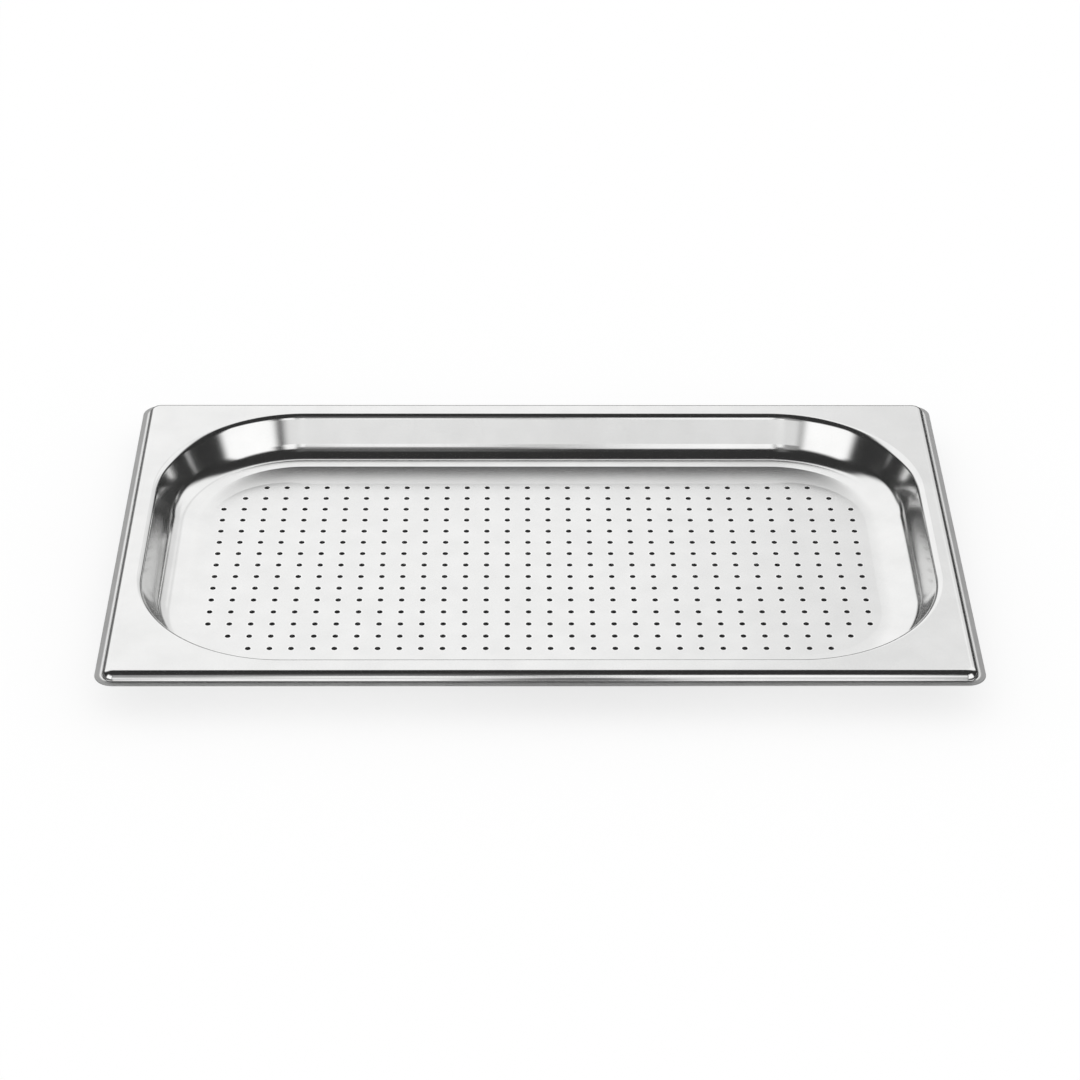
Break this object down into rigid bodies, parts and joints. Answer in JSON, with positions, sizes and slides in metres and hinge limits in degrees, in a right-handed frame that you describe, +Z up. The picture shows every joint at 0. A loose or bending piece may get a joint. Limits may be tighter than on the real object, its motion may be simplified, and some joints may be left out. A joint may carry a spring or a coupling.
{
  "type": "perforated tray",
  "caption": "Shallow rectangular stainless tray with a flat perforated floor, round-cornered well, flat flange and turned-down rim.",
  "frame": {"origin": "on the surface that the tray stands on, below the middle of the floor", "axes": "+X along the tray's length, +Y to the rear, +Z up through the mouth of the well"},
  "size_m": [0.53, 0.325, 0.028],
  "materials": {
    "stainless_steel": "bright satin stainless sheet, fine-grained, with polished pressed bends"
  },
  "bodies": {
    "root": {"perforated_floor": "stainless_steel", "front_wall": "stainless_steel", "rear_wall": "stainless_steel", "left_wall": "stainless_steel", "right_wall": "stainless_steel", "front_left_wall_corner": "stainless_steel", "front_right_wall_corner": "stainless_steel", "rear_left_wall_corner": "stainless_steel", "rear_right_wall_corner": "stainless_steel", "front_flange": "stainless_steel", "rear_flange": "stainless_steel", "left_flange": "stainless_steel", "right_flange": "stainless_steel", "front_left_flange_corner": "stainless_steel", "front_right_flange_corner": "stainless_steel", "rear_left_flange_corner": "stainless_steel", "rear_right_flange_corner": "stainless_steel", "front_rim": "stainless_steel", "rear_rim": "stainless_steel", "left_rim": "stainless_steel", "right_rim": "stainless_steel"}
  },
  "joints": []
}
